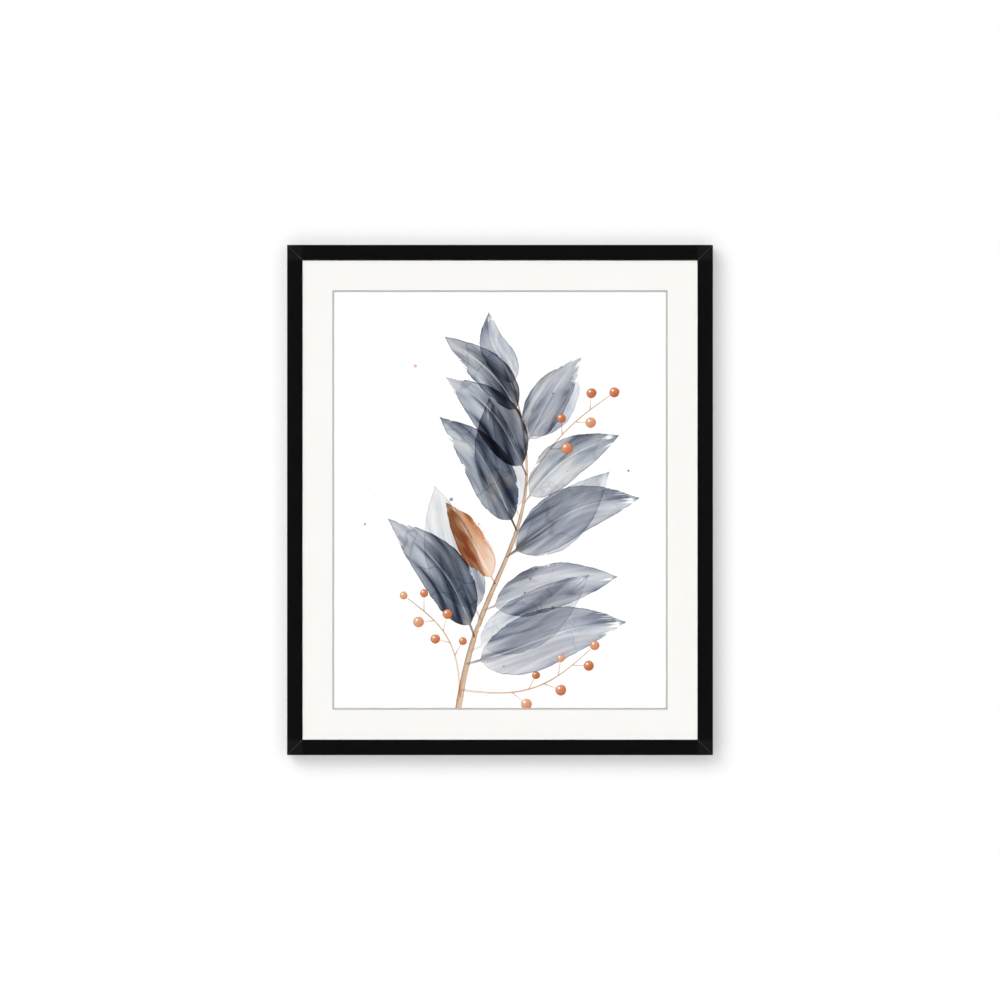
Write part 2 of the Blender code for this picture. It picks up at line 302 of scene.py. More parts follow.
# the section carried along the rail: every point runs straight to both mitres, so its reach along the
# rail is the half length less how far in it lies. The left rail is worked out upright and turned about
# the picture's middle; fibre holds the way along, the way round the section and a shift for each rail
def makeRail(side, quarterTurns, material):
    upright = side in ("left", "right")
    length, across = (place["height"], place["width"]) if upright else (place["width"], place["height"])
    section, painted = railSection()
    count = len(section)
    rings = rail["rings"]
    along = np.concatenate([[-1], np.linspace(-1, 1, rings), [1]])
    sections = np.repeat(section[None], rings + 2, 0)
    sections[[0, -1]] = shrink(section, rail["mitreArris"])
    reach = length / 2 - sections[..., 0] - rail["glueLine"] / math.sqrt(2)
    step = rail["mitreArris"] * np.concatenate([[0], [1], np.zeros(rings - 2), [1], [0]])
    z = along[:, None] * (reach - step[:, None])
    x = sections[..., 0] - across / 2
    turn = quarterTurns * math.pi / 2
    points = np.stack(
        [
            x * math.cos(turn) + z * math.sin(turn),
            place["front"] + sections[..., 1],
            place["middle"] - x * math.sin(turn) + z * math.cos(turn),
        ],
        -1,
    ).reshape(-1, 3)
    faces = [face[::-1] for face in gridFaces(rings + 2, count, closeColumns=True)]
    last = (rings + 1) * count
    faces += [list(range(count)), list(range(last + count - 1, last - 1, -1))]
    piece = makePiece("moulding_" + side, points, faces, material, 40, ["rail_" + side])
    edge = np.linalg.norm(np.diff(section, axis=0, append=section[:1]), axis=1)
    girth = np.concatenate([[0], np.cumsum(edge)[:-1]])
    shift = np.full(z.shape, quarterTurns * rail["grainShift"])
    fibre = np.stack([z, np.broadcast_to(girth, z.shape), shift], -1)
    storeOnPoints(piece, "fibre", fibre.reshape(-1, 3))
    storeOnPoints(piece, "painted", np.broadcast_to(painted, z.shape).ravel())
    storeOnPoints(piece, "fromMitre", (np.abs(reach) - np.abs(z)).ravel())
    storeOnPoints(piece, "pastSight", (np.abs(z) - length / 2 + place["face"]).ravel())
    return piece


# stained black with the grain just showing through, a shade paler on the corner squares past the sight
# edge and in a line along each mitre, partly wear and partly a painted highlight on the eased edges; raw
# wood behind
def paintedWood():
    f = Finish("black_stained_wood", Specular_IOR_Level=0.35)
    grain = f.noise(1, 4, 0.6, f.stretch(f.attribute("fibre", "Vector"), rail["grain"]))
    pores = f.noise(1, 2, 0.5, f.stretch(f.attribute("fibre", "Vector"), rail["pores"]))
    cloud = f.noise(14, 3, 0.5)
    painted = (f.attribute("painted") + (f.noise(420, 2) - 0.5) * 0.9).ramp(0.4, 0.6)
    black = f.mix(grain.ramp(0.35, 0.8) * 0.7, rail["paint"], tuple(2.4 * k for k in rail["paint"]))
    # a shade paler on the corner squares past the sight edge
    black = f.mix(f.attribute("pastSight").ramp(-0.0006, 0.0004) * 0.8, black, rail["paleCorners"])
    # a paler line along each mitre: partly wear, partly a painted highlight on its eased edges
    atMitre = 1 - f.attribute("fromMitre").ramp(0.0004, 0.0011)
    black = f.mix(atMitre * 0.8, black, rail["mitreLine"])
    raw = f.mix(grain.ramp(0.3, 0.7), rail["rawWood"], rail["rawGrain"])
    f.set("Base Color", f.mix(painted, raw, black))
    satin = 0.33 + grain * 0.12 + cloud * 0.08
    f.set("Roughness", 0.8 - painted * (0.8 - satin))
    f.bump(grain * 0.7 + pores.ramp(0.35, 0.6) * 0.5, 0.25, 0.0002)
    return f.material


def makeMoulding():
    material = paintedWood()
    for turns, side in enumerate(("left", "top", "right", "bottom")):
        makeRail(side, turns, material)
    print("moulding made")


# mat with its bevelled window


mat = {
    "border": 0.036,
    "lip": 0.0002,
    "samplesPerSide": 60,
    "bladeWander": 0.00006,
    # the bevel's grey: partly the core's own colour, partly painted shade
    "board": (0.866, 0.856, 0.829),
    "core": (0.54, 0.54, 0.53),
}


# the corners of the unit square run round by one parameter, n steps a side
def squareLoop(n):
    t = np.linspace(-1, 1, n, endpoint=False)
    one = np.ones(n)
    sides = ((t, -one), (one, t), (-t, one), (-one, -t))
    return np.concatenate([np.stack(side, -1) for side in sides])


# the mat's section carried round its window: the loop's unit square is stretched to the window's half
# size plus how far out the section's point lies, and the cut wanders as the blade did
def makeMat(material):
    low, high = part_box("mat")
    depth = high.y - low.y
    halfWidth = place["sightWidth"] / 2 - mat["border"]
    halfHeight = place["sightHeight"] / 2 - mat["border"]
    outer, lip = high.x - halfWidth, mat["lip"]
    # how far out from the window, how far back from the face, and 1 where the bare core shows, greyed as
    # painted shade on the bevel
    section = np.array([
        (-depth, depth, 1),
        (-depth * 0.5, depth * 0.5, 1),
        (-lip, lip, 1),
        (0, lip * 0.25, 0.6),
        (lip * 1.6, 0, 0),
        (0.008, 0, 0),
        (outer * 0.6, 0, 0),
        (outer, 0, 0),
        (outer, depth, 0),
        (0.004, depth, 0),
    ])
    out, back, core = section.T
    loop = squareLoop(mat["samplesPerSide"])
    count = len(loop)
    wander = waves(loop[:, 0] * 0.2, loop[:, 1] * 0.25, 0.05, 3) * mat["bladeWander"]
    out = out[None, :] + wander[:, None] * core
    x = loop[:, :1] * (halfWidth + out)
    z = place["middle"] + loop[:, 1:] * (halfHeight + out)
    y = low.y + np.broadcast_to(back, x.shape)
    points = np.stack([x, y, z], -1).reshape(-1, 3)
    faces = gridFaces(count, len(back), True, True)
    piece = makePiece("mat_with_window", points, faces, material, 25, ["mat"])
    storeOnPoints(piece, "core", np.broadcast_to(core, x.shape).ravel())
    print("mat made")
    return piece


# soft off-white board with a fine felted tooth, and the grey core where the blade went, partly its own
# colour and partly painted shade on the bevel
def matBoard():
    f = Finish("mat_board", Roughness=0.9, Specular_IOR_Level=0.25)
    tooth = f.noise(900, 3, 0.6)
    cloud = f.noise(22, 3, 0.5)
    face = f.mix(cloud * 0.5 + tooth * 0.3, mat["board"], tuple(0.975 * k for k in mat["board"]))
    core = f.mix(tooth, mat["core"], tuple(0.88 * k for k in mat["core"]))
    f.set("Base Color", f.mix(f.attribute("core").ramp(0.4, 0.7), face, core))
    f.bump(tooth * 0.7 + f.noise(3200, 1) * 0.3, 0.12, 0.0001)
    return f.material


# the print: a branch in watercolour greys, with rust berries


painting = {
    "foot": (-0.052, -0.262),
    "stemLength": 0.402,
    "stemHeading": 80,
    "leaves": 10,
    "leafLength": (0.192, 0.128),
    "leafSpread": (60, 36),
    "slimness": (0.15, 0.19),
    "turned": (3,),
    "stalk": 0.09,
    "near": 0.004,
    "endLeaf": {"length": 0.098, "bend": 0.006, "width": 0.018},
    # paler leaves behind: where on the stem, side, length
    "paleLeaves": ((0.2, -1, 0.17), (0.3, 1, 0.17), (0.5, -1, 0.16), (0.62, 1, 0.15), (0.85, -1, 0.12)),
    # where on the stem, side, length, spread from the stem in degrees, droop, berries
    "sprigs": (
        (0.06, 1, 0.135, 38, -0.020, 6),
        (0.08, -1, 0.165, 62, -0.024, 6),
        (0.72, -1, 0.150, 38, 0.010, 5),
    ),
    "sprigStart": 0.4,
    "berry": (0.0048, 0.0072),
    "drops": 26,
    # how strongly a full wash of each pigment takes away red, green and blue light
    "slate": (3.45, 3.32, 3.04),
    "blue": (3.4, 3.1, 2.66),
    "lavender": (2.2, 2.1, 1.58),
    "tan": (0.6, 1.05, 1.5),
    "rust": (0.6, 1.75, 2.65),
    "paper": (0.94, 0.94, 0.935),
}


# a stroke follows a straight axis that bends: its middle line rises by bend as half a sine and sways
# as a whole one; gives that line and its slope at shares t of the way along
def strokeLine(stroke, t):
    bend, sway = stroke["bend"], stroke.get("sway", 0)
    line = bend * np.sin(math.pi * t) + sway * np.sin(math.tau * t)
    slope = math.pi * bend * np.cos(math.pi * t) + math.tau * sway * np.cos(math.tau * t)
    return line, slope / stroke["length"]


# the place and the heading at a share t of the way along a stroke
def pointOn(stroke, t):
    line, slope = strokeLine(stroke, t)
    dx, dy = math.cos(stroke["heading"]), math.sin(stroke["heading"])
    along = t * stroke["length"]
    x, y = stroke["x"] + along * dx - line * dy, stroke["y"] + along * dy + line * dx
    return x, y, stroke["heading"] + math.atan(slope)


# a leaf's half width, 1 at its widest: a stalk, then a quick swell and a long taper
def leafProfile(t):
    swell, taper = 0.62, 0.95
    peak = swell / (swell + taper)
    s = np.clip((t - painting["stalk"]) / (1 - painting["stalk"]), 0, 1)
    return np.maximum((s / peak) ** swell * ((1 - s) / (1 - peak)) ** taper, 0.045)


# stem and twigs narrow evenly to their tips
def stemProfile(t):
    return 1 - 0.75 * t


def twigProfile(t):
    return 1 - 0.6 * t


# one mark of the brush over the whole sheet: u runs along it from 0 to 1, v across it in metres and
# half is its half width there, falling below nothing past its ends
def strokeMark(a, b, stroke):
    dx, dy = math.cos(stroke["heading"]), math.sin(stroke["heading"])
    u = ((a - stroke["x"]) * dx + (b - stroke["y"]) * dy) / stroke["length"]
    t = np.clip(u, 0, 1)
    line, slope = strokeLine(stroke, t)
    v = ((b - stroke["y"]) * dx - (a - stroke["x"]) * dy - line) / np.sqrt(1 + slope**2)
    half = stroke["profile"](t) * stroke["width"] - np.abs(u - t) * stroke["length"]
    warm = stroke["warm"] + (1 - min(stroke["warm"], 1)) * np.clip(1 - t / 0.2, 0, 1) ** 1.5
    warm = warm + stroke.get("blush", 0) * (0.6 - t)
    tone = np.stack([np.full(len(a), stroke["density"]), np.full(len(a), stroke["lavender"]), warm], -1)
    return np.stack([u, v, half], -1), tone, half - np.abs(v)


# a round mark: how far a point lies from its middle both ways, and its radius
def roundMark(a, b, dot):
    x, y = a - dot["x"], b - dot["y"]
    radius = np.full(len(a), dot["radius"])
    tone = np.stack([np.full(len(a), dot["density"]), np.full(len(a), dot["rust"]), radius * 0], -1)
    return np.stack([x, y, radius], -1), tone, radius - np.hypot(x, y)


# marks that keep clear of each other share a layer, and each layer stores one shape and one tone
def layMarks(marks):
    near = painting["near"]
    layers = []
    for shape, tone, inside in marks:
        wide = inside > -2.2 * near
        layer = next((one for one in layers if not (one["taken"] & wide).any()), None)
        if layer is None:
            layer = {"taken": np.zeros(len(shape), bool), "Shape": shape * 0, "Tone": tone * 0}
            layer["Shape"][:, 2] = -0.05
            layers.append(layer)
        close = inside > -near
        layer["taken"] |= close
        layer["Shape"][close], layer["Tone"][close] = shape[close], tone[close]
    return layers


# the value that lies that share of the way from the pair's first to its second
def between(pair, share):
    return pair[0] + (pair[1] - pair[0]) * share


# leaves left and right by turns up the stem, one at its end, and paler ones behind
def drawLeaves(stem, random):
    count = painting["leaves"]
    leaves = []
    for i in range(count):
        share = i / (count - 1)
        x, y, heading = pointOn(stem, 0.16 + 0.76 * share)
        side = 1 if i % 2 else -1
        turned = i in painting["turned"]
        length = between(painting["leafLength"], share) * random.uniform(0.92, 1.08)
        length *= 0.66 if turned else 1
        spread = math.radians(between(painting["leafSpread"], share) + random.uniform(-6, 6))
        leaves.append({
            "x": x, "y": y, "length": length, "heading": heading + side * spread,
            "bend": -side * length * random.uniform(0.02, 0.12),
            "sway": length * random.uniform(-0.02, 0.02),
            "width": length * random.uniform(*painting["slimness"]),
            "profile": leafProfile, "density": between((0.5, 1.25), ((i * 5) % count) / (count - 1)),
            "lavender": random.uniform(0.0, 0.7) ** 1.5, "warm": 0.0,
        })
        if turned:
            leaves[-1].update({"warm": 1.5, "blush": 1.1, "density": 1.15, "lavender": 0.0})
    x, y, heading = pointOn(stem, 1.0)
    leaves.append({**leaves[0], "x": x, "y": y, "heading": heading + 0.1, **painting["endLeaf"]})
    for t, side, length in painting["paleLeaves"]:
        x, y, heading = pointOn(stem, t)
        leaves.append({
            "x": x, "y": y, "length": length, "heading": heading + side * random.uniform(0.45, 0.75),
            "bend": side * 0.008, "width": length * 0.19, "profile": leafProfile,
            "density": random.uniform(0.22, 0.38), "lavender": random.uniform(0.2, 0.8), "warm": 0.0,
        })
    return leaves


# a twig with a berry left and right by turns along its outer part, and one at its tip
def drawSprigs(stem, random):
    start, ahead = painting["sprigStart"], 0.006
    twigs, berries = [], []
    for t, side, reach, spread, droop, count in painting["sprigs"]:
        x, y, heading = pointOn(stem, t)
        twig = {
            "x": x, "y": y, "length": reach, "heading": heading + side * math.radians(spread),
            "bend": droop, "width": 0.0014, "profile": twigProfile,
            "density": 0.8, "lavender": 0.0, "warm": 1.2,
        }
        twigs.append(twig)
        for k in range(count):
            tip = k == count - 1
            share = start + (1 - start) * k / (count - 1)
            bx, by, turn = pointOn(twig, share)
            out = 0 if tip else (1 if k % 2 else -1) * random.uniform(0.012, 0.017)
            radius = random.uniform(*painting["berry"])
            bx += ahead * math.cos(turn) - out * math.sin(turn)
            by += ahead * math.sin(turn) + out * math.cos(turn)
            density = random.uniform(0.8, 1.5)
            berries.append({"x": bx, "y": by, "radius": radius, "density": density, "rust": 1.0})
            if not tip:
                sx, sy, _ = pointOn(twig, share - 0.05)
                twigs.append({
                    "x": sx, "y": sy, "length": math.hypot(bx - sx, by - sy),
                    "heading": math.atan2(by - sy, bx - sx), "bend": 0.0, "width": 0.0008,
                    "profile": twigProfile, "density": 0.7, "lavender": 0.0, "warm": 1.2,
                })
    return twigs, berries


# drops that fell from the brush, most of them small
def drawDrops(random):
    drops = []
    for _ in range(painting["drops"]):
        angle, away = random.uniform(0, math.tau), random.uniform(0.06, 0.2)
        drops.append({
            "x": away * math.cos(angle), "y": -0.02 + 1.1 * away * math.sin(angle),
            "radius": 0.0007 + 0.0017 * random.uniform(0, 1) ** 3,
            "density": random.uniform(0.2, 0.6), "rust": float(random.uniform() < 0.3),
        })
    return drops


# the whole branch over a sheet whose points lie at a across and b up from the window's middle
def paintBranch(a, b):
    random = np.random.default_rng(23)
    stem = {
        "x": painting["foot"][0], "y": painting["foot"][1], "length": painting["stemLength"],
        "heading": math.radians(painting["stemHeading"]), "bend": -0.026, "sway": 0.014,
        "width": 0.0042, "profile": stemProfile, "density": 0.95, "lavender": 0.1, "warm": 0.95,
    }
    leaves = drawLeaves(stem, random)
    twigs, berries = drawSprigs(stem, random)
    strokes = layMarks([strokeMark(a, b, s) for s in [*leaves, stem, *twigs]])
    rounds = layMarks([roundMark(a, b, dot) for dot in berries + drawDrops(random)])
    print("painting laid in", len(strokes), "layers of strokes and", len(rounds), "of rounds")
    return {"stroke": strokes, "round": rounds}


sheetOfPaper = {
    "spacing": 0.002,
    "cockle": 0.00012,
    "deepestCockle": 0.0003,
    # the face's share of the bake map; the rim has the rest
    "faceShare": 0.98,
}


# a sheet with a fine grid on its face, gently cockled, closed by a rim and one flat back
def makePrint():
    low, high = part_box("print")
    columns = round((high.x - low.x) / sheetOfPaper["spacing"]) + 1
    rows = round((high.z - low.z) / sheetOfPaper["spacing"]) + 1
    x, z = np.meshgrid(np.linspace(low.x, high.x, columns), np.linspace(low.z, high.z, rows))
    cockle = (waves(x, z, 0.11, 5) + 1) * sheetOfPaper["cockle"]
    face = np.stack([x, low.y + np.clip(cockle, 0, sheetOfPaper["deepestCockle"]), z], -1).reshape(-1, 3)
    count = len(face)
    index = np.arange(count).reshape(rows, columns)
    ring = np.concatenate([index[0, :-1], index[:-1, -1], index[-1, :0:-1], index[:0:-1, 0]])
    rim = face[ring].copy()
    rim[:, 1] = high.y
    points = np.concatenate([face, rim])
    faces = gridFaces(rows, columns)
    around = np.arange(len(ring))
    follow = (around + 1) % len(ring)
    faces += np.stack([ring[follow], ring[around], count + around, count + follow], -1).tolist()
    faces.append((count + around[::-1]).tolist())
    a, b = points[:, 0], points[:, 2] - place["middle"]
    layers = paintBranch(a, b)
    paint = watercolour(len(layers["stroke"]), len(layers["round"]))
    piece = makePiece("print_sheet", points, faces, paint, replaces=["print"])
    for kind, laid in layers.items():
        for i, layer in enumerate(laid):
            storeOnPoints(piece, f"{kind}Shape{i}", layer["Shape"])
            storeOnPoints(piece, f"{kind}Tone{i}", layer["Tone"])
    across, up = (a - low.x) / (high.x - low.x), (points[:, 2] - low.z) / (high.z - low.z)
    uv = np.stack([across, up * sheetOfPaper["faceShare"]], -1)
    uv[count:, 1] = 0.985 + 0.015 * uv[count:, 1]
    storeBakeMap(piece, uv)
    print("print made")
    return piece


# the noises that every wash shares: slow ones for where water lay, fine ones for the paper's tooth
def washNoises(f):
    slow = f.noise(13, 3, 0.5, distortion=0.5)
    return {
        "slow": slow,
        "tide": 1 - abs(slow - 0.53).ramp(0.003, 0.016),
        "lost": f.noise(24, 2).ramp(0.55, 0.66),
        "hue": f.noise(19, 2, 0.5, f.stretch(f.place, (1, 1, 1), (3, 1, 7))),
        "tooth": f.noise(600, 2, 0.6),
        "grain": f.noise(900, 3, 0.7),
        "wobble": (f.noise(75, 3, 0.6) - 0.5) * 0.0036,
    }


# one layer of leaves and twigs. Paint lies where the half width is more than the way across. It pools
# along the rim, fades from one end to the other, is thinner on one side, bare along the midrib and
# broken into bristle marks near the tip; each leaf's own chance comes from its density
def strokeLayer(f, i, n):
    u, v, half = f.split(f.attribute(f"strokeShape{i}", "Vector"))
    density, lavender, warm = f.split(f.attribute(f"strokeTone{i}", "Vector"))
    chance = (density * 37.31).math("FRACT")
    broad = half.ramp(0.0015, 0.006)
    flow = f.add("ShaderNodeCombineXYZ", {}, {0: u * 2.2, 1: v * 95, 2: density * 17 + i})
    pool = f.noise(1, 2, 0.45, flow, 0.3)
    bristle = f.noise(1, 2, 0.6, f.stretch(flow, (2.6, 4.6, 1)))
    side = v / half.math("MAXIMUM", 0.0006)
    ragged = (u + (bristle - 0.5) * 0.5).ramp(0.98, 0.9) * broad
    dry = n["lost"] * (n["tooth"] + bristle - 0.9) * 0.012 * broad
    inside = half - abs(v) + n["wobble"] * broad + (n["tooth"] - 0.5) * 0.0008 - dry
    cover = inside.ramp(0, 0.0004 + n["lost"] * 0.002 * broad)
    cover = cover * (1 - broad * u.ramp(0.55, 0.8) * chance.ramp(0.4, 0.6) * (1 - ragged))
    rim = (1 - inside.ramp(0.0003, 0.0018)) * (1 - n["lost"])
    fade = (u - 0.5) * (chance - 0.5) * 1.3 + side * (chance - 0.4) * 0.3
    dark = (pool + fade * 0.5).ramp(0.56, 0.74)
    midrib = (1 - abs(v).ramp(0.0003, 0.0012)) * u.ramp(0.1, 0.2) * u.ramp(0.9, 0.6) * broad
    body = 0.2 + (pool + fade).ramp(0.2, 0.8) * 0.62 + dark * 0.5 + rim * 0.3 + n["tide"] * 0.1
    body = body * (0.8 + bristle * 0.45) * (1 - midrib * 0.55) * (0.72 + n["grain"] * 0.56)
    laid = body * density * cover
    edge = rim * chance * 0.5
    warm = warm + (n["hue"].ramp(0.6, 0.72) * 0.3 * broad)
    grey = (1 - warm).math("MAXIMUM", 0)
    rust = (warm - 1).math("MAXIMUM", 0)
    tan = (1 - grey - rust) * 1.2
    return laid * grey * (1 - lavender), laid * grey * (lavender + edge), laid * tan, laid * rust


# one layer of berries and drops: a little darker below and at the rim, bare at a glint
def roundLayer(f, i, n):
    x, y, radius = f.split(f.attribute(f"roundShape{i}", "Vector"))
    density, rust, _ = f.split(f.attribute(f"roundTone{i}", "Vector"))
    wobble = n["wobble"] * radius.ramp(0.001, 0.006) * 0.6 + (n["tooth"] - 0.5) * 0.0006
    inside = radius - (x * x + y * y).math("SQRT") + wobble
    glintX, glintY = x / radius + 0.34, y / radius - 0.38
    glint = (1 - (glintX * glintX + glintY * glintY).ramp(0.02, 0.08)) * radius.ramp(0.002, 0.004)
    cover = inside.ramp(0, 0.0004)
    rim = 1 - inside.ramp(0.0002, 0.0014)
    shade = (x - y).ramp(-0.009, 0.009)
    body = 0.3 + shade * 0.42 + rim * 0.38 + n["slow"] * 0.3
    laid = density * cover * body * (1 - glint * 0.9) * (0.75 + n["grain"] * 0.5)
    return laid * (1 - rust), laid * rust, cover * radius.ramp(0.003, 0.004)


# transparent washes over white paper: each pigment takes its share of the light away, as a power of
# the amount that lies there; leaves stop where a berry was left free
def watercolour(strokeCount, roundCount):
    f = Finish("watercolour_print", Roughness=0.85, Specular_IOR_Level=0.25)
    noises = washNoises(f)
    amounts = [0, 0, 0, 0]
    for i in range(strokeCount):
        amounts = [more + amount for more, amount in zip(strokeLayer(f, i, noises), amounts)]
    for i in range(roundCount):
        grey, rust, kept = roundLayer(f, i, noises)
        amounts = [amount * (1 - kept) for amount in amounts]
        amounts[0], amounts[3] = amounts[0] + grey, amounts[3] + rust
    grey, lavender, tan, rust = amounts
    blueShare = noises["hue"].ramp(0.35, 0.6)
    laid = {"slate": grey * (1 - blueShare), "blue": grey * blueShare}
    laid.update({"lavender": lavender, "tan": tan, "rust": rust})
    taken = (0, 0, 0)
    for name, amount in laid.items():
        taken = f.vector("ADD", f.vector("SCALE", painting[name], amount), taken)
    left = f.vector("POWER", (math.e, math.e, math.e), f.vector("SCALE", taken, -1.0))
    f.set("Base Color", f.vector("MULTIPLY", left, painting["paper"]))
    f.bump(noises["tooth"], 0.12, 0.00015)
    return f.material


# glass


# clear pane: what its front doesn't mirror goes straight through
def clearGlass():
    f = Finish("picture_glass")
    behind = f.add("ShaderNodeNewGeometry", out="Backfacing")
    mirrored = f.add("ShaderNodeFresnel", {}, {"IOR": 1.5}) * (1 - behind)
    clear = f.add("ShaderNodeBsdfTransparent", {}, {"Color": (0.985, 0.985, 0.984, 1)})
    gloss = f.add("ShaderNodeBsdfGlossy", {}, {"Color": (1, 1, 1, 1), "Roughness": 0.02})
    pane = f.add("ShaderNodeMixShader", {}, {0: mirrored, 1: clear, 2: gloss})
    f.tree.nodes.remove(f.shader)
    f.feed(f.tree.nodes["Material Output"].inputs["Surface"], pane)
    return f.material


# these nodes keep their own meshes and take a better finish
def dress(names, material):
    for name in names:
        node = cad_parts[name]
        node.data.materials.clear()
        node.data.materials.append(material)


# brown paper over the back


cover = {
    "columns": 150,
    "rows": 180,
    "thickness": 0.00015,
    "gluedBand": 0.0105,
    "slack": 0.0009,
    "pucker": 0.00045,
    "puckerPitch": 0.034,
    "kraft": (0.4, 0.275, 0.165),
    "paleKraft": (0.5, 0.36, 0.23),
    "fibre": (0.6, 0.46, 0.31),
    "fleck": (0.2, 0.11, 0.055),
}


# the paper as a height over x and z: flat where it is glued, drawn in a little inside, with shallow
# puckers square to each rail that die away inwards, and creases that run in from the corners
def makeCover(material):
    low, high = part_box("dust_cover")
    columns, rows = cover["columns"], cover["rows"]
    x, z = np.meshgrid(np.linspace(low.x, high.x, columns), np.linspace(low.z, high.z, rows))
    fromSide = np.minimum(x - low.x, high.x - x)
    fromEnd = np.minimum(z - low.z, high.z - z)
    inner = np.clip((np.minimum(fromSide, fromEnd) - cover["gluedBand"]) / 0.012, 0, 1)
    inner = inner * inner * (3 - 2 * inner)
    wander = waves(x, z, 0.09, 8)
    pitch = math.tau / cover["puckerPitch"]
    pucker = np.sin(z * pitch + wander * 2.2) * np.exp(-fromSide / 0.035)
    pucker += np.sin(x * pitch * 0.9 + wander * 2.6) * np.exp(-fromEnd / 0.035)
    crease = np.sin((fromSide - fromEnd) * 210 + wander) * np.exp(-(fromSide + fromEnd) / 0.05) * 1.5
    broad = 0.8 + 0.35 * waves(x, z, 0.19, 9)
    pucker += crease + 0.3 * waves(x, z, 0.035, 11)
    sag = inner * (cover["slack"] * broad + cover["pucker"] * pucker)
    glued = (1 - inner) * (waves(x, z, 0.02, 10) + 1) * 0.00002
    back = high.y - glued - np.clip(sag, 0, None)
    # the edge was trimmed by hand, so it runs a little in and out
    trim = np.abs(waves(x, z, 0.06, 12)) * 0.0003
    x = x + np.where(np.abs(x) > high.x - 1e-6, -np.sign(x) * trim, 0)
    z = z + np.where(z > high.z - 1e-6, -trim, np.where(z < low.z + 1e-6, trim, 0))
    outside = np.stack([x, back, z], -1).reshape(-1, 3)
    inside = outside - np.array([0, cover["thickness"], 0])
    count = rows * columns
    index = np.arange(count).reshape(rows, columns)
    ring = np.concatenate([index[0, :-1], index[:-1, -1], index[-1, :0:-1], index[:0:-1, 0]])
    follow = np.roll(ring, -1)
    grid = np.array(gridFaces(rows, columns))
    rim = np.stack([ring, follow, count + follow, count + ring], -1)
    faces = grid[:, ::-1].tolist() + (grid + count).tolist() + rim.tolist()
    points = np.concatenate([outside, inside])
    piece = makePiece("paper_backing", points, faces, material, 60, ["dust_cover"])
    u = (points[:, 0] - low.x) / (high.x - low.x)
    v = (points[:, 2] - low.z) / (high.z - low.z)
    half = np.repeat([0.0, 1.0], count)
    storeBakeMap(piece, np.stack([u * 0.495 + half * 0.505, v], -1))
    print("paper backing made")
    return piece


# brown paper: faint bands across, a cloudy make, short fibres lying both ways and dark flecks
def kraftPaper():
    f = Finish("kraft_paper", Specular_IOR_Level=0.3)
    bands = f.noise(1, 3, 0.6, f.stretch(f.place, (9, 9, 150)))
    cloud = f.noise(16, 4, 0.62)
    fibre = f.noise(1, 3, 0.65, f.stretch(f.place, (900, 900, 210)), 0.8)
    cross = f.noise(1, 3, 0.65, f.stretch(f.place, (240, 900, 800)), 0.8)
    fleck = f.noise(1, 2, 0.5, f.stretch(f.place, (260, 260, 800)))
    tone = bands * 0.16 + cloud * 0.55 + fibre * 0.25 + cross * 0.24
    base = f.mix(tone.ramp(0.42, 0.78), cover["kraft"], cover["paleKraft"])
    base = f.mix((fibre * cross).ramp(0.34, 0.46) * 0.35, base, cover["fibre"])
    f.set("Base Color", f.mix(fleck.ramp(0.64, 0.72) * 0.55, base, cover["fleck"]))
    f.set("Roughness", 0.58 + fibre * 0.3)
    f.bump(fibre * 0.5 + cross * 0.4 + fleck * 0.2, 0.3, 0.0002)
    return f.material


# small metal, rubber and board


# zinc: small crystals of slightly different grey, with fine rolling lines
def zincPlate(name, brightness):
    f = Finish(name, Metallic=1.0)
    cell = f.add("ShaderNodeTexVoronoi", {}, {"Vector": f.place, "Scale": 700}, out="Color")
    tint = f.split(cell)[0]
    lines = f.noise(1, 2, 0.5, f.stretch(f.place, (60, 60, 4200)))
    low = tuple(brightness * k for k in (0.78, 0.78, 0.76))
    high = (brightness,) * 3
    f.set("Base Color", f.mix(tint * 0.5 + lines * 0.5, low, high))
    f.set("Roughness", 0.24 + tint * 0.12 + lines * 0.14)
    f.bump(lines, 0.15, 0.0001)
    return f.material


# rubber: dull black with a fine speck
def softRubber():
    f = Finish("black_rubber", Specular_IOR_Level=0.4)
    speck = f.noise(2600, 2)
    f.set("Base Color", f.mix(speck, (0.014, 0.014, 0.014), (0.03, 0.029, 0.028)))
    f.set("Roughness", 0.5 + speck * 0.25)
    f.bump(speck, 0.2, 0.0001)
    return f.material


# foam board: warm white paper with a faint speck
def foamBoard():
    f = Finish("foam_board", Roughness=0.85)
    speck = f.noise(800, 2)
    f.set("Base Color", f.mix(speck, (0.8, 0.79, 0.75), (0.74, 0.72, 0.68)))
    f.bump(speck, 0.2, 0.0001)
    return f.material


def dressSmallParts():
    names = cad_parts
    dress(["glazing"], clearGlass())
    dress(["backing_board"], foamBoard())
    dress([n for n in names if n.startswith(("point_", "corner_nail_"))], zincPlate("dull_zinc", 0.55))
    dress([n for n in names if n.startswith(("sawtooth", "hanger_screw"))], zincPlate("bright_zinc", 0.8))
    dress([n for n in names if n.startswith("bumper_")], softRubber())
    print("small parts dressed")


# camera, stage and light


